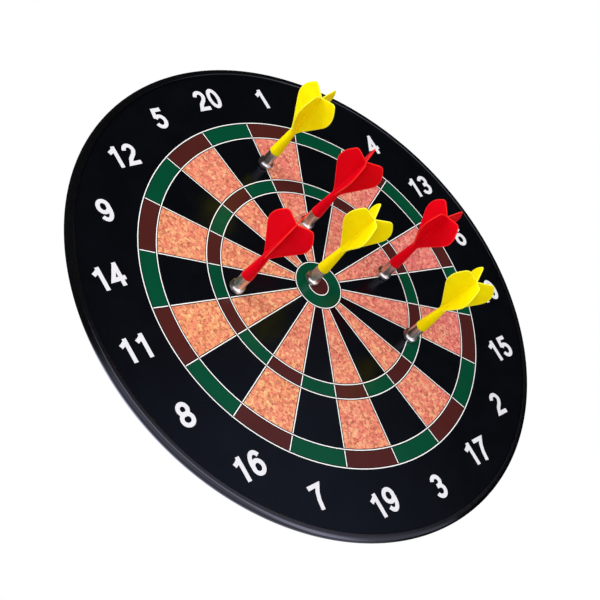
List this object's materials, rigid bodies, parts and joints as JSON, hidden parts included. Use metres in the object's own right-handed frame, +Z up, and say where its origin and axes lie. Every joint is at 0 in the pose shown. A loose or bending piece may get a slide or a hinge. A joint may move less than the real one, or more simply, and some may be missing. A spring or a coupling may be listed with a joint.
{
  "type": "magnetic dartboard",
  "caption": "Round wall-hung magnetic dartboard with a numbered target face in a raised rim, and magnet-nosed darts with four-fin flights standing on it.",
  "frame": {"origin": "on the board's axis, on the wall plane: the centre of the back panel's rear face", "axes": "+Z up towards the number 20, +Y into the wall, so the target faces -Y; +X to the right seen from the front"},
  "size_m": [0.285, 0.0703, 0.285],
  "materials": {
    "rim_plastic": "glossy",
    "printed_film": "glossy print",
    "steel": "mill",
    "fibreboard": "raw",
    "back_plastic": "fine grain",
    "plate_steel": "zinc plated",
    "screw_steel": "zinc plated",
    "yellow_plastic": "satin",
    "red_plastic": "satin",
    "chrome": "polished",
    "magnet": "nickel plated"
  },
  "bodies": {
    "board": {"rim": "rim_plastic", "printed_face": "printed_film", "steel_sheet": "steel", "core_board": "fibreboard", "back_panel": "back_plastic", "keyhole_plate": "plate_steel", "hanger_screws": "screw_steel"},
    "yellow_dart_1": {"yellow_dart_1_flight": "yellow_plastic", "yellow_dart_1_barrel": "chrome", "yellow_dart_1_magnet": "magnet"},
    "yellow_dart_2": {"yellow_dart_2_flight": "yellow_plastic", "yellow_dart_2_barrel": "chrome", "yellow_dart_2_magnet": "magnet"},
    "yellow_dart_3": {"yellow_dart_3_flight": "yellow_plastic", "yellow_dart_3_barrel": "chrome", "yellow_dart_3_magnet": "magnet"},
    "red_dart_1": {"red_dart_1_flight": "red_plastic", "red_dart_1_barrel": "chrome", "red_dart_1_magnet": "magnet"},
    "red_dart_2": {"red_dart_2_flight": "red_plastic", "red_dart_2_barrel": "chrome", "red_dart_2_magnet": "magnet"},
    "red_dart_3": {"red_dart_3_flight": "red_plastic", "red_dart_3_barrel": "chrome", "red_dart_3_magnet": "magnet"}
  },
  "joints": [
    {"name": "yellow_dart_1_pull_off", "type": "slide", "parent": "board", "child": "yellow_dart_1", "axis": [0, -1, 0], "range_m": [0, 0.1]},
    {"name": "yellow_dart_2_pull_off", "type": "slide", "parent": "board", "child": "yellow_dart_2", "axis": [0, -1, 0], "range_m": [0, 0.1]},
    {"name": "yellow_dart_3_pull_off", "type": "slide", "parent": "board", "child": "yellow_dart_3", "axis": [0, -1, 0], "range_m": [0, 0.1]},
    {"name": "red_dart_1_pull_off", "type": "slide", "parent": "board", "child": "red_dart_1", "axis": [0, -1, 0], "range_m": [0, 0.1]},
    {"name": "red_dart_2_pull_off", "type": "slide", "parent": "board", "child": "red_dart_2", "axis": [0, -1, 0], "range_m": [0, 0.1]},
    {"name": "red_dart_3_pull_off", "type": "slide", "parent": "board", "child": "red_dart_3", "axis": [0, -1, 0], "range_m": [0, 0.1]}
  ]
}
